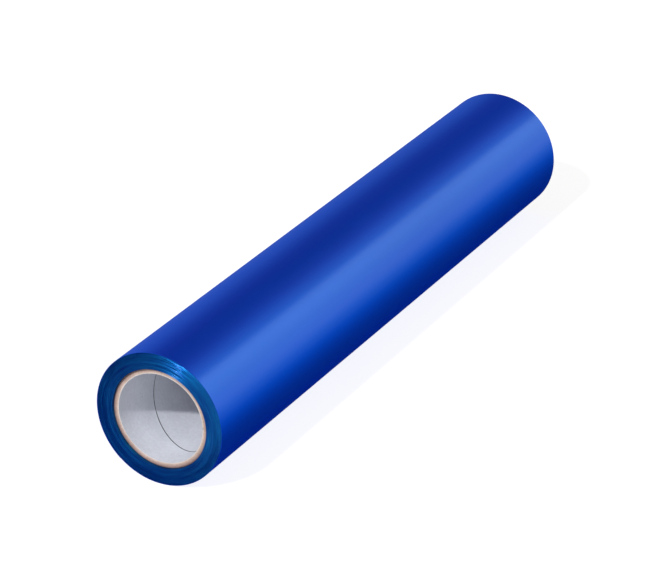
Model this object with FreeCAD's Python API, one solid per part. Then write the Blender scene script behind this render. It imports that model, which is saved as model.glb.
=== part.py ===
import FreeCAD, Part
import math
import os

# Roll of self-adhesive sign film on a spiral-wound paper core.
#
# Frame: millimetres, +Z up. The roll lies on its side with its axis along Y.
# The origin is the centre of the core's bore at mid-length. Angles are
# measured in the XZ plane from +X towards +Z.
#
# The web is face film over a clear release liner, film outwards. It is wound
# on the core so that its free end comes over the top, down the back (-X side)
# and stops below the axis, clear of whatever the roll rests on. The free end
# is cut into narrow strips, each hinged to the one before along its outer
# corner, so that it can be lifted off and straightened.

# ---- core (spiral-wound paper tube, 3 inch bore) ----
CORE_BORE_R = 38.1          # 76.2 mm bore
CORE_LENGTH = 605.0         # 2.5 mm short of the web's edge at each end
INNER_LINER_T = 0.60        # smooth grey-white ply that faces the bore
BODY_PLY_T = 0.50           # kraft core board
BODY_PLIES = 7
OUTER_PLY_T = 0.28          # smooth kraft ply under the film

# ---- web ----
WEB_WIDTH = 610.0           # 24 inch film
FILM_T = 0.105              # 0.080 face film with 0.025 adhesive
LINER_T = 0.075             # clear release liner
WEB_T = FILM_T + LINER_T
ROLL_R = 56.8               # outside of the last wrap
TAIL_GAP = 0.05             # air under the loose end
START_TAPE_T = 0.10         # double-sided tape that starts the web on the core
START_TAPE_W = 25.0

# ---- free end of the web, angles in degrees ----
TAIL_EDGE = 230.0           # the cut edge
TAIL_ROOT = 140.0           # where the loose end leaves the last wrap
TAIL_STRIPS = 10            # narrow strips
STRIP_DEG = 7.0
END_DEG = 20.0              # the last, wider strip of liner
EDGE_STRIPS = 3             # strips of film at the cut edge that peel off it
EDGE_DEG = 5.0
PANEL_DEG = 3.5             # longest arc of one curved panel of a strip

os.makedirs("parts", exist_ok=True)
Y = FreeCAD.Vector(0, 1, 0)


def polar(r, deg, y=0.0, cx=0.0, cz=0.0):
    a = math.radians(deg)
    return FreeCAD.Vector(cx + r * math.cos(a), y, cz + r * math.sin(a))


def tube(r_in, r_out, length):
    base = FreeCAD.Vector(0, -length / 2.0, 0)
    outer = Part.makeCylinder(r_out, length, base, Y)
    inner = Part.makeCylinder(r_in, length, base, Y)
    return outer.cut(inner)


def arc(r, a, b, y, cx=0.0, cz=0.0):
    return Part.Arc(polar(r, a, y, cx, cz), polar(r, (a + b) / 2.0, y, cx, cz),
                    polar(r, b, y, cx, cz)).toShape()


def line(p, q):
    return Part.LineSegment(p, q).toShape()


def strip(r_in, r_out, a, b, width):
    """A strip of a cylinder's wall between two angles, width long, centred on Y.
    Its curved faces are split into panels of at most PANEL_DEG."""
    y = -width / 2.0
    n = int(math.ceil((b - a) / PANEL_DEG - 1e-9))
    cuts = [a + (b - a) * i / n for i in range(n + 1)]
    edges = [arc(r_out, p, q, y) for p, q in zip(cuts, cuts[1:])]
    edges.append(line(polar(r_out, b, y), polar(r_in, b, y)))
    edges += [arc(r_in, q, p, y) for p, q in reversed(list(zip(cuts, cuts[1:])))]
    edges.append(line(polar(r_in, a, y), polar(r_out, a, y)))
    return Part.Face(Part.Wire(edges)).extrude(FreeCAD.Vector(0, width, 0))


def export(name, shape):
    if shape.ShapeType == "Compound" and len(shape.Solids) == 1:
        shape = shape.Solids[0]
    assert shape.isValid() and shape.Solids and shape.Volume > 0, name
    shape.exportStep("parts/%s.step" % name)
    print("%-22s %10.1f mm3  %d solid(s)" % (name, shape.Volume, len(shape.Solids)))


# ---- the core's plies, from the bore outwards ----
r = CORE_BORE_R
export("core_inner_liner", tube(r, r + INNER_LINER_T, CORE_LENGTH))
r += INNER_LINER_T
for i in range(BODY_PLIES):
    export("core_body_ply_%d" % (i + 1), tube(r, r + BODY_PLY_T, CORE_LENGTH))
    r += BODY_PLY_T
export("core_outer_ply", tube(r, r + OUTER_PLY_T, CORE_LENGTH))
CORE_R = r + OUTER_PLY_T

# ---- start tape, along the core under the first wrap ----
half = math.degrees(START_TAPE_W / 2.0 / CORE_R)
start_tape = strip(CORE_R, CORE_R + START_TAPE_T, TAIL_ROOT - half, TAIL_ROOT + half, CORE_LENGTH)
export("core_start_tape", start_tape)

# ---- the wound web, all but its loose end ----
# Its outline is a true spiral of tangent arcs: half a turn about the roll's
# axis, then half a turn about a centre set off by half of one wrap.
UNDER_R = ROLL_R - WEB_T - TAIL_GAP             # the wrap under the loose end
HALF_R = (ROLL_R + UNDER_R) / 2.0
OFFSET = (ROLL_R - UNDER_R) / 2.0
START = TAIL_EDGE - 180.0
ox = OFFSET * math.cos(math.radians(START))
oz = OFFSET * math.sin(math.radians(START))
y0 = -WEB_WIDTH / 2.0
outline = Part.Wire([
    arc(HALF_R, TAIL_EDGE, START + 360.0, y0, ox, oz),
    arc(ROLL_R, START, TAIL_ROOT, y0),
    line(polar(ROLL_R, TAIL_ROOT, y0), polar(UNDER_R, TAIL_ROOT, y0)),
    arc(UNDER_R, TAIL_ROOT, TAIL_EDGE, y0),
])
pack = Part.Face(outline).extrude(FreeCAD.Vector(0, WEB_WIDTH, 0))
pack = pack.cut(Part.makeCylinder(CORE_R, WEB_WIDTH, FreeCAD.Vector(0, y0, 0), Y))
pack = pack.cut(start_tape)
export("wound_web", pack)

# ---- the loose end: film and liner strips ----
R_JOIN = ROLL_R - FILM_T                        # film's adhesive side on the liner
R_BACK = ROLL_R - WEB_T                         # back of the liner
a = TAIL_ROOT
for i in range(TAIL_STRIPS):
    export("film_tail_%02d" % (i + 1), strip(R_JOIN, ROLL_R, a, a + STRIP_DEG, WEB_WIDTH))
    export("liner_tail_%02d" % (i + 1), strip(R_BACK, R_JOIN, a, a + STRIP_DEG, WEB_WIDTH))
    a += STRIP_DEG
export("liner_tail_end", strip(R_BACK, R_JOIN, a, a + END_DEG, WEB_WIDTH))
b = TAIL_EDGE - EDGE_STRIPS * EDGE_DEG
export("film_tail_end", strip(R_JOIN, ROLL_R, a, b, WEB_WIDTH))
for i in range(EDGE_STRIPS):
    export("film_edge_%d" % (i + 1), strip(R_JOIN, ROLL_R, b, b + EDGE_DEG, WEB_WIDTH))
    b += EDGE_DEG

turns = (ROLL_R - CORE_R) / WEB_T
length = math.pi * (ROLL_R ** 2 - CORE_R ** 2) / WEB_T / 1000.0
print("core radius %.2f, %.1f turns, %.1f m of web" % (CORE_R, turns, length))
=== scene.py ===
import math

import bmesh
import bpy
import numpy as np
from mathutils import Matrix, Vector


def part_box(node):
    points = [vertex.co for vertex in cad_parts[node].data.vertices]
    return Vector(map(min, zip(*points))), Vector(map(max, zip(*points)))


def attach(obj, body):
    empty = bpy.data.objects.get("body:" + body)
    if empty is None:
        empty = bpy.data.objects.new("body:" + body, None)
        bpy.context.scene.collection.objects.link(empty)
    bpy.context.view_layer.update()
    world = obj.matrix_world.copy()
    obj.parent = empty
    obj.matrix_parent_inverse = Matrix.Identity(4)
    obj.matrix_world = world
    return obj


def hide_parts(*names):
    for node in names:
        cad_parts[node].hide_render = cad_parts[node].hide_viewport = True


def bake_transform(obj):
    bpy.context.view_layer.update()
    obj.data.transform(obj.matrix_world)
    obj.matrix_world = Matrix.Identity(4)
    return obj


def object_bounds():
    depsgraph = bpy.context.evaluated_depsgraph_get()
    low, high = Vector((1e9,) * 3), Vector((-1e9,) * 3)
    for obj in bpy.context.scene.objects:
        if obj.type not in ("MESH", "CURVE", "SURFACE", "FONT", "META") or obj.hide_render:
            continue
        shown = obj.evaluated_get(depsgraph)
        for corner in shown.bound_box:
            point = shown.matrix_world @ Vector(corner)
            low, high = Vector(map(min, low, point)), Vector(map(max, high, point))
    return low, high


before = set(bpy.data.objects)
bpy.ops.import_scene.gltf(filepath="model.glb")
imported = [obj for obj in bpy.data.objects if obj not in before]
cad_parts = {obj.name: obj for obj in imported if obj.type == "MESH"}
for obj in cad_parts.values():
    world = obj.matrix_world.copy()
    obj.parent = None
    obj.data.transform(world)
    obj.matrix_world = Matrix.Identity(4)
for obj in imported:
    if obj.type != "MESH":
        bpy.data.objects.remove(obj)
cad_box = [[float(c) for c in corner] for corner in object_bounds()]

# ------------------------------------------------------------------ sizes
# millimetres; the same figures as the CAD, checked against the frame below
MM = 0.001
ROLL_R = 56.8
UNDER_R = 56.57
WEB_T = 0.18
FILM_T = 0.105
CORE_R = 42.48
BORE_R = 38.1
WEB_W = 610.0
CORE_W = 605.0
INNER_LINER_T = 0.60
BODY_PLY_T = 0.50
BODY_PLIES = 7
OUTER_PLY_T = 0.28
TAIL_ROOT = 140.0
TAIL_EDGE = 230.0
STRIP = 7.0
STRIPS = 10
EDGE = 5.0
CUT = TAIL_ROOT - STRIP / 2.0       # where the skin of the roll hands over to the loose end

lo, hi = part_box("wound_web")
assert abs((hi - lo)[1] / MM - WEB_W) < 0.2
assert abs(-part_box("film_tail_06")[0][0] / MM - ROLL_R) < 0.2
lo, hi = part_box("core_inner_liner")
assert abs((hi - lo)[1] / MM - CORE_W) < 0.2
assert abs((hi - lo)[0] / MM / 2 - BORE_R - INNER_LINER_T) < 0.2
FLOOR_Z = cad_box[0][2]


# ------------------------------------------------------------------ mesh helpers
def build(name, verts, faces, mats, index=None, smooth=True, sharp=40.0):
    mesh = bpy.data.meshes.new(name)
    mesh.from_pydata([tuple(v) for v in np.asarray(verts, float) * MM], [], [tuple(int(i) for i in f) for f in faces])
    for m in mats:
        mesh.materials.append(m)
    if index is not None:
        mesh.polygons.foreach_set("material_index", np.asarray(index, np.int32))
    mesh.validate()
    bm = bmesh.new()
    bm.from_mesh(mesh)
    bmesh.ops.recalc_face_normals(bm, faces=bm.faces)
    bm.to_mesh(mesh)
    bm.free()
    shade(mesh, smooth, sharp)
    obj = bpy.data.objects.new(name, mesh)
    bpy.context.scene.collection.objects.link(obj)
    return obj


def shade(mesh, smooth=True, sharp=40.0):
    mesh.polygons.foreach_set("use_smooth", [smooth] * len(mesh.polygons))
    if smooth:
        mesh.set_sharp_from_angle(angle=math.radians(sharp))
    mesh.update()


def polar(r, deg):
    a = np.radians(deg)
    return r * np.cos(a), r * np.sin(a)


def noise1(seed, spacing, count, x):
    """Smooth noise along x, one random value per spacing."""
    rng = np.random.RandomState(seed)
    k = rng.uniform(-1, 1, int(count / spacing) + 4)
    u = np.asarray(x, float) / spacing
    i = np.floor(u).astype(int)
    f = u - i
    f = f * f * (3 - 2 * f)
    return k[i] * (1 - f) + k[i + 1] * f


def sweep(name, section, a, b, n, mats, ends, sharp=40.0):
    """A closed strip of wall from angle a to b. section(deg) gives (r_in, r_out); ends gives the rows along Y."""
    ph = np.linspace(a, b, n + 1)
    ys = list(ends)
    verts, faces = [], []
    for p in ph:
        r0, r1 = section(p)
        for r in (r1, r0):
            x, z = polar(r, p)
            for y in ys:
                verts.append((x, y, z))
    m = len(ys)
    for i in range(n):
        o, q = i * 2 * m, (i + 1) * 2 * m
        for j in range(m - 1):
            faces.append((o + j, o + j + 1, q + j + 1, q + j))
            faces.append((o + m + j, q + m + j, q + m + j + 1, o + m + j + 1))
        faces.append((o, q, q + m, o + m))
        faces.append((o + m - 1, o + 2 * m - 1, q + 2 * m - 1, q + m - 1))
    for o, flip in ((0, False), (n * 2 * m, True)):
        for j in range(m - 1):
            f = (o + j, o + m + j, o + m + j + 1, o + j + 1)
            faces.append(tuple(reversed(f)) if flip else f)
    return build(name, verts, faces, mats, sharp=sharp)


# ------------------------------------------------------------------ materials
def material(name):
    m = bpy.data.materials.new(name)
    m.use_nodes = True
    nt = m.node_tree
    bsdf = next(n for n in nt.nodes if n.type == "BSDF_PRINCIPLED")
    return m, nt, bsdf


def node(nt, kind, **inputs):
    n = nt.nodes.new(kind)
    for k, v in inputs.items():
        n.inputs[k.replace("_", " ")].default_value = v
    return n


def ramp(nt, fac, stops):
    n = nt.nodes.new("ShaderNodeValToRGB")
    nt.links.new(fac, n.inputs["Fac"])
    el = n.color_ramp.elements
    while len(el) < len(stops):
        el.new(0.5)
    for e, (p, c) in zip(el, stops):
        e.position = p
        e.color = (*c, 1.0) if len(c) == 3 else c
    return n.outputs["Color"]


def mapping(nt, scale, vec=None):
    if vec is None:
        vec = nt.nodes.new("ShaderNodeTexCoord").outputs["Object"]
    n = nt.nodes.new("ShaderNodeMapping")
    n.inputs["Scale"].default_value = scale
    nt.links.new(vec, n.inputs["Vector"])
    return n.outputs["Vector"]


def noise(nt, vec, scale, detail=3.0, rough=0.55):
    n = nt.nodes.new("ShaderNodeTexNoise")
    n.inputs["Scale"].default_value = scale
    n.inputs["Detail"].default_value = detail
    n.inputs["Roughness"].default_value = rough
    nt.links.new(vec, n.inputs["Vector"])
    return n.outputs["Fac"]


def bump(nt, height, distance, strength=1.0, normal=None):
    n = nt.nodes.new("ShaderNodeBump")
    n.inputs["Distance"].default_value = distance
    n.inputs["Strength"].default_value = strength
    nt.links.new(height, n.inputs["Height"])
    if normal is not None:
        nt.links.new(normal, n.inputs["Normal"])
    return n.outputs["Normal"]


def mixcol(nt, fac, a, b, mode="MIX"):
    n = nt.nodes.new("ShaderNodeMix")
    n.data_type = "RGBA"
    n.blend_type = mode
    ins = [s for s in n.inputs if s.enabled]
    for sock, v in zip(ins, (fac, a, b)):
        if isinstance(v, bpy.types.NodeSocket):
            nt.links.new(v, sock)
        elif isinstance(v, (int, float)):
            sock.default_value = v
        else:
            sock.default_value = (*v, 1.0)
    return next(s for s in n.outputs if s.enabled)


def polar_coords(nt):
    """(angle in turns, radius in metres, y) of the object's point about the roll's axis."""
    co = nt.nodes.new("ShaderNodeTexCoord").outputs["Object"]
    sep = nt.nodes.new("ShaderNodeSeparateXYZ")
    nt.links.new(co, sep.inputs[0])
    at = nt.nodes.new("ShaderNodeMath")
    at.operation = "ARCTAN2"
    nt.links.new(sep.outputs["Z"], at.inputs[0])
    nt.links.new(sep.outputs["X"], at.inputs[1])
    flat = nt.nodes.new("ShaderNodeCombineXYZ")
    nt.links.new(sep.outputs["X"], flat.inputs["X"])
    nt.links.new(sep.outputs["Z"], flat.inputs["Y"])
    ln = nt.nodes.new("ShaderNodeVectorMath")
    ln.operation = "LENGTH"
    nt.links.new(flat.outputs[0], ln.inputs[0])
    return at.outputs[0], ln.outputs["Value"], sep.outputs["Y"]


def combine(nt, x, y, z):
    n = nt.nodes.new("ShaderNodeCombineXYZ")
    for s, v in zip(n.inputs, (x, y, z)):
        if isinstance(v, bpy.types.NodeSocket):
            nt.links.new(v, s)
        else:
            s.default_value = v
    return n.outputs[0]


def maths(nt, op, a, b=None):
    n = nt.nodes.new("ShaderNodeMath")
    n.operation = op
    for s, v in zip(n.inputs, (a, b)):
        if v is None:
            continue
        if isinstance(v, bpy.types.NodeSocket):
            nt.links.new(v, s)
        else:
            s.default_value = v
    return n.outputs[0]


def film_material(name):
    """Satin-gloss metallic blue film: faint caliper streaks along the web and a fine leathery grain."""
    m, nt, b = material(name)
    co = nt.nodes.new("ShaderNodeTexCoord").outputs["Object"]
    broad = noise(nt, mapping(nt, (1.0, 0.35, 1.0), co), 9.0, 3.0)
    col = ramp(nt, broad, [(0.30, (0.0, 0.083, 0.905)), (0.70, (0.0, 0.091, 0.975))])
    nt.links.new(col, b.inputs["Base Color"])
    fine = noise(nt, co, 2600.0, 2.0)
    streak = noise(nt, mapping(nt, (1.0, 40.0, 1.0), co), 6.0, 2.0)
    rough = nt.nodes.new("ShaderNodeMapRange")
    rough.inputs["To Min"].default_value = 0.39
    rough.inputs["To Max"].default_value = 0.45
    nt.links.new(streak, rough.inputs["Value"])
    nt.links.new(rough.outputs[0], b.inputs["Roughness"])
    n1 = bump(nt, streak, 0.000006, 0.3)
    nt.links.new(bump(nt, fine, 0.0000025, 0.3, n1), b.inputs["Normal"])
    b.inputs["Metallic"].default_value = 0.70
    b.inputs["Specular IOR Level"].default_value = 0.0
    b.inputs["Coat Weight"].default_value = 0.40
    b.inputs["Coat Roughness"].default_value = 0.14
    return m


def edge_material(name, dark, light, rough, metal, coat=0.0):
    """The slit edge of the wraps, a little different from wrap to wrap and round the roll."""
    m, nt, b = material(name)
    ang, rad, y = polar_coords(nt)
    rings = noise(nt, combine(nt, maths(nt, "MULTIPLY", rad, 1.0), 0.0, maths(nt, "MULTIPLY", ang, 0.0006)), 2600.0, 4.0, 0.6)
    cloud = noise(nt, combine(nt, rad, 0.0, maths(nt, "MULTIPLY", ang, 0.012)), 160.0, 3.0)
    f = maths(nt, "ADD", maths(nt, "MULTIPLY", rings, 0.65), maths(nt, "MULTIPLY", cloud, 0.35))
    nt.links.new(ramp(nt, f, [(0.32, dark), (0.68, light)]), b.inputs["Base Color"])
    nt.links.new(bump(nt, rings, 0.00003, 0.5), b.inputs["Normal"])
    b.inputs["Metallic"].default_value = metal
    b.inputs["Roughness"].default_value = rough
    b.inputs["Specular IOR Level"].default_value = 0.1
    b.inputs["Specular Tint"].default_value = (0.2, 0.6, 1.0, 1.0)
    b.inputs["Coat Weight"].default_value = coat
    b.inputs["Coat Roughness"].default_value = 0.20
    return m


def liner_material(name):
    m, nt, b = material(name)
    co = nt.nodes.new("ShaderNodeTexCoord").outputs["Object"]
    haze = noise(nt, mapping(nt, (1.0, 0.3, 1.0), co), 40.0, 3.0)
    nt.links.new(ramp(nt, haze, [(0.3, (0.78, 0.84, 0.88)), (0.7, (0.88, 0.92, 0.95))]), b.inputs["Base Color"])
    nt.links.new(bump(nt, noise(nt, co, 900.0, 2.0), 0.000006, 0.3), b.inputs["Normal"])
    b.inputs["Roughness"].default_value = 0.14
    b.inputs["IOR"].default_value = 1.57
    b.inputs["Alpha"].default_value = 0.34
    return m


def paper_material(name, light, dark, speck, scale=1.0, wall=None):
    """Spiral-wound tube paper: felt-side mottle, long fibres and a few dark specks; wall darkens it outward through the
    tube's wall, partly as darker outer plies and partly as painted shade where the film's proud edge shades the
    recessed core end.
    """
    m, nt, b = material(name)
    co = nt.nodes.new("ShaderNodeTexCoord").outputs["Object"]
    mottle = noise(nt, co, 420.0 * scale, 4.0, 0.6)
    cloud = noise(nt, co, 38.0 * scale, 3.0)
    fibre = noise(nt, mapping(nt, (1.0, 0.22, 1.0), co), 1900.0 * scale, 3.0, 0.6)
    f = maths(nt, "ADD", maths(nt, "MULTIPLY", mottle, 0.5), maths(nt, "MULTIPLY", cloud, 0.5))
    base = ramp(nt, f, [(0.35, dark), (0.65, light)])
    vor = nt.nodes.new("ShaderNodeTexVoronoi")
    vor.inputs["Scale"].default_value = 150.0 * scale
    vor.inputs["Randomness"].default_value = 1.0
    nt.links.new(co, vor.inputs["Vector"])
    spot = ramp(nt, vor.outputs["Distance"], [(0.0, (1, 1, 1)), (0.105, (0, 0, 0))])
    keep = ramp(nt, noise(nt, co, 55.0 * scale, 2.0), [(0.48, (0, 0, 0)), (0.62, (1, 1, 1))])
    mask = mixcol(nt, 1.0, spot, keep, "MULTIPLY")
    col = mixcol(nt, maths(nt, "MULTIPLY", mask, 0.75), base, speck)
    if wall is not None:
        through = maths(nt, "DIVIDE", maths(nt, "SUBTRACT", polar_coords(nt)[1], BORE_R * MM), (CORE_R - BORE_R) * MM)
        col = mixcol(nt, 1.0, col, ramp(nt, through, wall), "MULTIPLY")
    nt.links.new(col, b.inputs["Base Color"])
    n1 = bump(nt, fibre, 0.00004, 0.5)
    nt.links.new(bump(nt, mottle, 0.00008, 0.35, n1), b.inputs["Normal"])
    b.inputs["Roughness"].default_value = 0.72
    b.inputs["Specular IOR Level"].default_value = 0.3
    return m


def tape_material(name):
    m, nt, b = material(name)
    co = nt.nodes.new("ShaderNodeTexCoord").outputs["Object"]
    f = noise(nt, mapping(nt, (1.0, 0.2, 1.0), co), 500.0, 3.0)
    nt.links.new(ramp(nt, f, [(0.3, (0.70, 0.66, 0.58)), (0.7, (0.82, 0.79, 0.72))]), b.inputs["Base Color"])
    nt.links.new(bump(nt, f, 0.00003, 0.5), b.inputs["Normal"])
    b.inputs["Roughness"].default_value = 0.5
    return m


M_FILM = film_material("film_face")
M_EDGE_FILM = edge_material("film_slit_edge", (0.0, 0.006, 0.180), (0.004, 0.200, 0.500), 0.36, 0.80, 0.12)
M_EDGE_LINER = edge_material("liner_slit_edge", (0.0, 0.012, 0.200), (0.0, 0.045, 0.420), 0.34, 0.6)
# the steep inward-facing step of each wrap's ridge: dark colour as painted shade, rough and not metallic
M_EDGE_STEP_SHADE = edge_material("edge_step_painted_shade", (0.0, 0.012, 0.080), (0.0, 0.030, 0.150), 0.80, 0.0)
M_LINER = liner_material("clear_liner")
# from bore to outside of the core wall: lighter inner plies and darker outer plies, plus painted shade toward the
# outside under the film's proud edge
WALL_TONE_AND_SHADE = [(0.0, (1.0, 1.0, 1.0)), (0.16, (0.92, 0.84, 0.80)), (0.42, (0.76, 0.64, 0.60)), (0.70, (0.58, 0.46, 0.44)),
        (0.90, (0.36, 0.27, 0.27)), (1.0, (0.24, 0.18, 0.18))]
M_BORE = paper_material("bore_paper", (0.84, 0.86, 0.93), (0.70, 0.72, 0.79), (0.16, 0.15, 0.15))
M_KRAFT = paper_material("kraft_board", (0.92, 0.82, 0.76), (0.60, 0.49, 0.43), (0.30, 0.22, 0.18), 1.6, WALL_TONE_AND_SHADE)
M_BOARD_EDGE = paper_material("board_cut_edge", (0.84, 0.77, 0.74), (0.70, 0.62, 0.60), (0.40, 0.34, 0.30), 2.2)
# near-black paper for the butt seam's walls and the board seen through the seam: painted shade for the dark gap
M_SEAM_SHADE = paper_material("seam_gap_painted_shade", (0.070, 0.062, 0.058), (0.035, 0.031, 0.030), (0.01, 0.01, 0.01), 2.2)
M_TAPE = tape_material("start_tape")

# ------------------------------------------------------------------ the wound web
O2 = (ROLL_R - UNDER_R) / 2.0
HALF_R = (ROLL_R + UNDER_R) / 2.0
START = TAIL_EDGE - 180.0


def skin_r(deg):
    """Outside of the last fixed wrap, for an angle from CUT - 360 to CUT."""
    deg = np.asarray(deg, float)
    r = HALF_R + O2 * np.cos(np.radians(deg - START))
    r = np.where(deg > START, ROLL_R, r)
    return np.where(deg < TAIL_EDGE - 360.0, UNDER_R, r)


def edge_offset(seed, turns, count):
    """How far the slit edge stands back from the web's end plane, in mm, along the turns of the web."""
    o = 0.055 * noise1(seed, 0.37, count, turns) + 0.10 * noise1(seed + 1, 3.1, count, turns) + 0.07 * noise1(seed + 2, 11.0, count, turns)
    return np.maximum(0.0, 0.115 + 0.75 * o)


WRAPS = 78
SEG = 320


def wound_edge(name, sign, seed):
    """One end of the wound web: every wrap's slit edge as a ridge on a true spiral, closed 6 mm deep."""
    total = (WRAPS + 1) * SEG
    j = np.arange(total + 1)
    t = j / SEG
    deg = (CUT - 360.0) + 360.0 * (t % 1.0)
    deg[-1] = CUT
    # spiral radius: from the core, over the start tape, out to the inside of the last wrap
    last = skin_r(deg) - WEB_T - 0.004
    pitch = ((ROLL_R + UNDER_R) / 2.0 - WEB_T - CORE_R - 0.02) / (WRAPS + 0.5)
    q = np.clip(t - (WRAPS - 1), 0, 1)
    q = q * q * (3 - 2 * q)
    wander = 0.02 * noise1(seed + 5, 0.8, WRAPS + 4, t) * np.clip(t, 0, 1) * (1 - q)
    rho = (1 - q) * (CORE_R + 0.02 + pitch * t + wander) + q * last
    half = math.degrees(12.5 / CORE_R)
    over = np.clip(1.25 - np.abs(((deg - TAIL_ROOT + 180.0) % 360.0) - 180.0) / half, 0, 1)
    rho += 0.10 * over * np.clip(1.0 - t / 5.0, 0, 1)
    top = edge_offset(seed, t, WRAPS + 4)
    n = WRAPS * SEG
    share = np.clip((rho - CORE_R) / (ROLL_R - CORE_R), 0, 1)
    lean = 0.030 + 0.050 * np.clip((share - 0.42) / 0.15, 0, 1)
    lean *= 0.85 + 0.40 * noise1(seed + 9, 0.23, WRAPS + 4, t) + 0.45 * noise1(seed + 10, 0.021, WRAPS + 4, t)
    groove = top + lean
    ends = sign * WEB_W / 2.0
    rise = rho[SEG:] - rho[:n + 1]
    verts = np.zeros((total + 1 + 2 * (n + 1), 3))
    a = np.radians(deg)
    c, s = np.cos(a), np.sin(a)
    verts[:total + 1] = np.stack([rho * c, ends - sign * groove, rho * s], 1)
    for k, share_of in enumerate((0.14, 0.42)):
        r = rho[:n + 1] + share_of * rise
        o = total + 1 + k * (n + 1)
        verts[o:o + n + 1] = np.stack([r * c[:n + 1], ends - sign * top[:n + 1], r * s[:n + 1]], 1)
    i = np.arange(n)
    A, B = total + 1, total + 1 + n + 1
    f1 = np.stack([i, i + 1, A + i + 1, A + i], 1)
    f2 = np.stack([A + i, A + i + 1, B + i + 1, B + i], 1)
    f3 = np.stack([B + i, B + i + 1, SEG + i + 1, SEG + i], 1)
    faces = np.concatenate([f1, f2, f3])
    # steep inner steps take the painted-shade step material, the flats the liner edge, the outward slopes the film edge
    index = np.concatenate([np.full(n, 2), np.ones(n), np.zeros(n)]).astype(int)
    # the inner and outer boundary loops, each closed across the web's first or last cross-section, carried back and joined
    base = len(verts)
    inner_loop = list(range(SEG + 1)) + [B, A]
    outer_loop = list(range(n, total + 1)) + [B + n, A + n]
    back_y = ends - sign * 6.0
    extra, walls, windex = [], [], []
    loops = []
    for loop in (inner_loop, outer_loop):
        start = base + len(extra)
        for v in loop:
            extra.append((verts[v][0], back_y, verts[v][2]))
        m = len(loop)
        for k in range(m):
            k2 = (k + 1) % m
            walls.append((loop[k], start + k, start + k2, loop[k2]))
        loops.append((start, m))
    (s0, m0), (s1, m1) = loops
    for k in range(m0):
        k2 = (k + 1) % m0
        walls.append((s0 + k, s1 + k, s1 + k2, s0 + k2))
    verts = np.concatenate([verts, np.array(extra)])
    all_faces = [tuple(f) for f in faces.tolist()] + walls
    index = list(index) + [0] * len(walls)
    return build(name, verts, all_faces, [M_EDGE_FILM, M_EDGE_LINER, M_EDGE_STEP_SHADE], index, smooth=False)


near_edge = wound_edge("wound_edge_near", -1.0, 11)
far_edge = wound_edge("wound_edge_far", 1.0, 47)

# the last fixed wrap: a closed sheet, one turn long
rows = [-WEB_W / 2 + 0.06, -WEB_W / 2 + 0.12, -WEB_W / 2 + 1.0] + list(np.linspace(-300, 300, 21)) + [WEB_W / 2 - 1.0, WEB_W / 2 - 0.12, WEB_W / 2 - 0.06]
skin = sweep("last_wrap", lambda p: (float(skin_r(p)) - WEB_T, float(skin_r(p))), CUT - 360.0, CUT, 720, [M_FILM], rows)

for o in (near_edge, far_edge, skin):
    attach(o, "roll")
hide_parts("wound_web")

# ------------------------------------------------------------------ the loose end
tail_rows = [-WEB_W / 2 + 0.06] + list(np.linspace(-300, 300, 13)) + [WEB_W / 2 - 0.06]
FILM = (ROLL_R - FILM_T + 0.002, ROLL_R)
LINER = (ROLL_R - WEB_T, ROLL_R - FILM_T - 0.002)


def at(deg, r=ROLL_R):
    x, z = polar(r, deg)
    return (float(x) * MM, 0.0, float(z) * MM)


for i in range(STRIPS + 1):
    a, b = CUT + STRIP * i, CUT + STRIP * (i + 1)
    tag = "%02d" % (i + 1) if i < STRIPS else "end"
    film = sweep("tail_film_" + tag, lambda p: FILM, a, b, 14, [M_FILM], tail_rows)
    liner = sweep("tail_liner_" + tag, lambda p: LINER, a, b, 14, [M_LINER], tail_rows)
    for o, slot, cad in ((film, "face_film", "film_tail_" + tag), (liner, "release_liner", "liner_tail_" + tag)):
        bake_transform(o)
        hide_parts(cad)

last = CUT + STRIP * (STRIPS + 1)
first_edge = TAIL_EDGE - 3 * EDGE
liner = sweep("liner_lip", lambda p: LINER, last, TAIL_EDGE, 33, [M_LINER], tail_rows)
film = sweep("film_by_edge", lambda p: FILM, last, first_edge, 4, [M_FILM], tail_rows)
for o, slot in ((liner, "release_liner"), (film, "face_film")):
    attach(o, "tail_end")
spans = [(first_edge, first_edge + EDGE / 2, "tail_end", "film_edge_1"),
         (first_edge + EDGE / 2, first_edge + 1.5 * EDGE, "film_edge_1", "film_edge_2"),
         (first_edge + 1.5 * EDGE, first_edge + 2.5 * EDGE, "film_edge_2", "film_edge_3")]
for k, (a, b, p, q) in enumerate(spans):
    o = sweep("film_curl_%d" % (k + 1), lambda _: FILM, a, b, 12, [M_FILM], tail_rows)
    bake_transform(o)
    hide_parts("film_edge_%d" % (k + 1))
lip = sweep("film_lip", lambda _: FILM, first_edge + 2.5 * EDGE, TAIL_EDGE, 6, [M_FILM], tail_rows)
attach(lip, "film_edge_3")

# ------------------------------------------------------------------ the core
LEAD = 108.0


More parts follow.
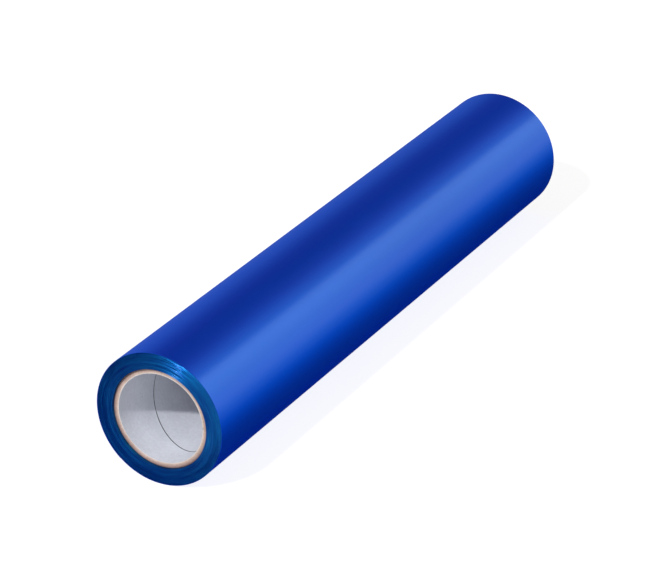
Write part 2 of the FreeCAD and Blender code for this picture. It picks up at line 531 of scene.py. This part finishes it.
def ply(name, r_in, r_out, phase, gap, mats, rows_in, step, ends, lift=None):
    """A spiral-wound ply: one long ribbon with a butt seam, cut square at both ends of the core."""
    lo_y, hi_y = ends
    y0 = lo_y + phase
    th_a = 2 * math.pi * (y0 - hi_y) / LEAD - math.radians(2 * step)
    th_b = 2 * math.pi * (y0 + LEAD - lo_y) / LEAD + math.radians(2 * step)
    n = int(math.ceil((th_b - th_a) / math.radians(step)))
    th = np.linspace(th_a, th_b, n + 1)
    inner = [gap / 2 + v * (LEAD - gap) for v in rows_in]
    outer = [gap / 2 + v * (LEAD - gap) for v in (0.0, 0.5, 1.0)]
    verts, faces = [], []
    for a in th:
        y = y0 - LEAD * a / (2 * math.pi)
        for v in inner:
            r = r_in - (lift(v) if lift else 0.0)
            verts.append((r * math.cos(a), y + v, r * math.sin(a)))
        for v in reversed(outer):
            verts.append((r_out * math.cos(a), y + v, r_out * math.sin(a)))
    m = len(inner) + len(outer)
    for i in range(n):
        for k in range(m):
            k2 = (k + 1) % m
            faces.append((i * m + k, i * m + k2, (i + 1) * m + k2, (i + 1) * m + k))
    faces.append(tuple(range(m)))
    faces.append(tuple(reversed(range(n * m, n * m + m))))
    obj = build(name, verts, faces, mats)
    bm = bmesh.new()
    bm.from_mesh(obj.data)
    for y, no in ((lo_y, (0, -1, 0)), (hi_y, (0, 1, 0))):
        cut = bmesh.ops.bisect_plane(bm, geom=bm.verts[:] + bm.edges[:] + bm.faces[:], dist=1e-9,
                                     plane_co=(0, y * MM, 0), plane_no=no, clear_outer=True)
        edges = [e for e in cut["geom_cut"] if isinstance(e, bmesh.types.BMEdge)]
        bmesh.ops.holes_fill(bm, edges=edges, sides=0)
    bmesh.ops.recalc_face_normals(bm, faces=bm.faces)
    for f in bm.faces:
        # the first material faces the bore, the last is on the cut ends and the outside, the middle one on the seam's walls
        c = f.calc_center_median()
        cut_end = abs(f.normal.y) > 0.98 and min(abs(c.y - lo_y * MM), abs(c.y - hi_y * MM)) < 0.02 * MM
        if cut_end or c.xz.length > (r_out - 0.1) * MM:
            f.material_index = len(mats) - 1
        elif abs(f.normal.y) > 0.6:
            f.material_index = min(1, len(mats) - 1)
    bm.to_mesh(obj.data)
    bm.free()
    shade(obj.data, True, 30.0)
    return obj


def raised(v):
    """The inner ply's far edge stands a little proud of the seam."""
    d = LEAD - 0.2 - v
    return 0.10 * max(0.0, 1.0 - d / 1.6) if d < 1.6 else 0.0


half = CORE_W / 2.0
edge_rows = (0.0, 0.0006, 0.004, 0.25, 0.5, 0.75, 0.983, 0.9885, 0.993, 0.9965, 0.9994, 1.0)
# the inner ply's seam walls take the near-black seam paper: painted shade in the gap
inner = ply("core_inner_ply", BORE_R, BORE_R + INNER_LINER_T - 0.01, 108.0, 1.00, [M_BORE, M_SEAM_SHADE, M_BOARD_EDGE], edge_rows, 3.0, (-half, half), raised)
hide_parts("core_inner_liner")
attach(inner, "roll")
r = BORE_R + INNER_LINER_T
rng = np.random.RandomState(5)
for i in range(BODY_PLIES + 1):
    t = BODY_PLY_T if i < BODY_PLIES else OUTER_PLY_T
    back = 0.03 + 0.09 * rng.rand()
    name = "core_ply_%d" % (i + 1) if i < BODY_PLIES else "core_top_ply"
    # the first body ply faces the bore with the near-black seam paper: painted shade seen through the inner ply's seam
    o = ply(name, r + 0.005, r + t - 0.008, 108.0 - 13.5 * (i + 1) + 3 * rng.rand(), 0.16, [M_SEAM_SHADE, M_KRAFT] if i == 0 else [M_KRAFT],
            (0.0, 0.5, 1.0), 4.0, (-half + back, half - back))
    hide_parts("core_body_ply_%d" % (i + 1) if i < BODY_PLIES else "core_outer_ply")
    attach(o, "roll")
    r += t
deg = math.degrees(12.5 / CORE_R)
tape = sweep("start_tape_strip", lambda _: (CORE_R + 0.002, CORE_R + 0.098), TAIL_ROOT - deg, TAIL_ROOT + deg, 24, [M_TAPE],
             list(np.linspace(-half + 0.3, half - 0.3, 9)))
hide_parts("core_start_tape")
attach(tape, "roll")

# ------------------------------------------------------------------ stage
scene = bpy.context.scene
scene.view_settings.view_transform = "Standard"
scene.view_settings.look = "None"

# camera
cam = bpy.data.cameras.new("camera")
cam.sensor_fit = "HORIZONTAL"
cam.sensor_width = 36.0
cam.lens = 164.243
cam.clip_end = 60.0
cam_obj = bpy.data.objects.new("camera", cam)
scene.collection.objects.link(cam_obj)
right = Vector((0.87804866, 0.47857137, 0.0))
up = Vector((-0.20662562, 0.37910198, 0.90199088))
back = right.cross(up)
rot = Matrix((right, up, back)).transposed().to_4x4()
cam_obj.matrix_world = Matrix.Translation((1.08497946, -2.02619222, 1.08309045)) @ rot
scene.camera = cam_obj

# floor
mesh = bpy.data.meshes.new("floor")
S = 14.0
mesh.from_pydata([(-S, -S, FLOOR_Z), (S, -S, FLOOR_Z), (S, S, FLOOR_Z), (-S, S, FLOOR_Z)], [], [(0, 1, 2, 3)])
floor = bpy.data.objects.new("floor", mesh)
scene.collection.objects.link(floor)
fm = bpy.data.materials.new("pale_floor")
fm.use_nodes = True
nt = fm.node_tree
nt.nodes.clear()
out = nt.nodes.new("ShaderNodeOutputMaterial")
path = nt.nodes.new("ShaderNodeLightPath")
seen = nt.nodes.new("ShaderNodeAddShader")
dif = nt.nodes.new("ShaderNodeBsdfDiffuse")
dif.inputs["Color"].default_value = (0.30, 0.30, 0.30, 1)
em = nt.nodes.new("ShaderNodeEmission")
em.inputs["Color"].default_value = (1, 1, 1, 1)
em.inputs["Strength"].default_value = 0.86
nt.links.new(dif.outputs[0], seen.inputs[0])
nt.links.new(em.outputs[0], seen.inputs[1])
other = nt.nodes.new("ShaderNodeBsdfDiffuse")
other.inputs["Color"].default_value = (0.45, 0.45, 0.45, 1)
mix = nt.nodes.new("ShaderNodeMixShader")
nt.links.new(path.outputs["Is Camera Ray"], mix.inputs["Fac"])
nt.links.new(other.outputs[0], mix.inputs[1])
nt.links.new(seen.outputs[0], mix.inputs[2])
nt.links.new(mix.outputs[0], out.inputs["Surface"])
fm.cycles.emission_sampling = "NONE"
mesh.materials.append(fm)
floor.visible_glossy = False

# surroundings: white where the camera sees them; otherwise a long bright panel beyond the far end of the roll with dark
# gaps above and below it, and a softer light from the near side
world = bpy.data.worlds.new("studio")
world.use_nodes = True
world.cycles.sampling_method = "NONE"
scene.world = world
nt = world.node_tree
nt.nodes.clear()
out = nt.nodes.new("ShaderNodeOutputWorld")
path = nt.nodes.new("ShaderNodeLightPath")
direction = nt.nodes.new("ShaderNodeTexCoord").outputs["Generated"]
sep = nt.nodes.new("ShaderNodeSeparateXYZ")
nt.links.new(direction, sep.inputs[0])
around = maths(nt, "ARCTAN2", sep.outputs["Z"], sep.outputs["X"])
around = maths(nt, "FRACT", maths(nt, "DIVIDE", maths(nt, "ADD", around, math.radians(120.0 + 720.0)), 2 * math.pi))


def smooth(value, a, b):
    n = nt.nodes.new("ShaderNodeMapRange")
    n.interpolation_type = "SMOOTHSTEP"
    n.inputs["From Min"].default_value = a
    n.inputs["From Max"].default_value = b
    nt.links.new(value, n.inputs["Value"])
    return n.outputs[0]


def band(stops, top):
    """Light by the angle about the roll's axis, in degrees from -120 to 240."""
    stops = sorted(stops)
    first, final = stops[0], stops[-1]
    if first[0] > -120.0:
        gap = first[0] + 360.0 - final[0]
        f = (240.0 - final[0]) / gap
        wrap = tuple(final[1][c] * (1 - f) + first[1][c] * f for c in range(3))
        stops = [(-120.0, wrap)] + stops + [(240.0, wrap)]
    else:
        stops = stops + [(240.0, first[1])]
    return ramp(nt, around, [((d + 120.0) / 360.0, tuple(v / top for v in c)) for d, c in stops])


FAR = [(-120, (0.00, 0.00, 0.14)), (-85, (0.00, 0.00, 0.12)), (-60, (0.00, 0.00, 0.00)), (-40, (0.00, 0.07, 0.11)),
       (-25, (0.00, 0.30, 0.56)), (-10, (0.40, 0.82, 0.56)), (5, (1.36, 1.56, 0.96)), (20, (1.52, 1.60, 0.60)),
       (35, (2.05, 2.32, 0.84)), (50, (2.28, 2.62, 1.20)), (60, (0.70, 0.69, 0.23)), (70, (0.58, 0.54, 0.44)),
       (85, (0.27, 0.04, 0.00)), (105, (0.09, 0.00, 0.00)), (130, (0.10, 0.00, 0.00)), (160, (0.13, 0.29, 0.44)),
       (200, (0.10, 0.22, 0.54))]
SIDE = [(-120, (0.15, 0.15, 0.15)), (-50, (0.28, 0.28, 0.28)), (20, (0.15, 0.15, 0.15)), (90, (0.19, 0.16, 0.15)),
        (160, (0.18, 0.16, 0.15))]
NEAR = [(-120, (0.30, 0.30, 0.30)), (-60, (1.25, 1.25, 1.28)), (20, (1.05, 1.05, 1.05)), (90, (0.50, 0.50, 0.50)),
        (160, (0.45, 0.45, 0.45))]
TOP = 3.0
beyond = smooth(sep.outputs["Y"], 0.35, 0.60)
fade = nt.nodes.new("ShaderNodeMapRange")
for k, v in (("From Min", 0.50), ("From Max", 1.0), ("To Min", 1.66), ("To Max", 0.38)):
    fade.inputs[k].default_value = v
nt.links.new(sep.outputs["Y"], fade.inputs["Value"])
panel = nt.nodes.new("ShaderNodeVectorMath")
panel.operation = "SCALE"
nt.links.new(band(FAR, TOP), panel.inputs[0])
nt.links.new(fade.outputs[0], panel.inputs["Scale"])
before = smooth(maths(nt, "MULTIPLY", sep.outputs["Y"], -1.0), 0.10, 0.40)
rest = mixcol(nt, before, band(SIDE, TOP), band(NEAR, TOP))
shiny = mixcol(nt, beyond, rest, panel.outputs[0])
grey = nt.nodes.new("ShaderNodeRGBToBW")
nt.links.new(panel.outputs[0], grey.inputs[0])
dim = nt.nodes.new("ShaderNodeVectorMath")
dim.operation = "SCALE"
dim.inputs[0].default_value = (0.58, 0.58, 0.58)
nt.links.new(grey.outputs[0], dim.inputs["Scale"])
matt = mixcol(nt, beyond, rest, dim.outputs[0])
gloss = nt.nodes.new("ShaderNodeBackground")
nt.links.new(mixcol(nt, path.outputs["Is Glossy Ray"], matt, shiny), gloss.inputs["Color"])
gloss.inputs["Strength"].default_value = TOP
white = nt.nodes.new("ShaderNodeBackground")
white.inputs["Color"].default_value = (1, 1, 1, 1)
m2 = nt.nodes.new("ShaderNodeMixShader")
nt.links.new(path.outputs["Is Camera Ray"], m2.inputs["Fac"])
nt.links.new(gloss.outputs[0], m2.inputs[1])
nt.links.new(white.outputs[0], m2.inputs[2])
nt.links.new(m2.outputs[0], out.inputs["Surface"])

key_dir = (-0.07, -1.14, 1.0)
key = bpy.data.lights.new("key", "SUN")
key.energy = 2.02
key.angle = math.radians(3.0)
ko = bpy.data.objects.new("key", key)
ko.matrix_world = Vector(key_dir).normalized().to_track_quat("Z", "Y").to_matrix().to_4x4()
scene.collection.objects.link(ko)
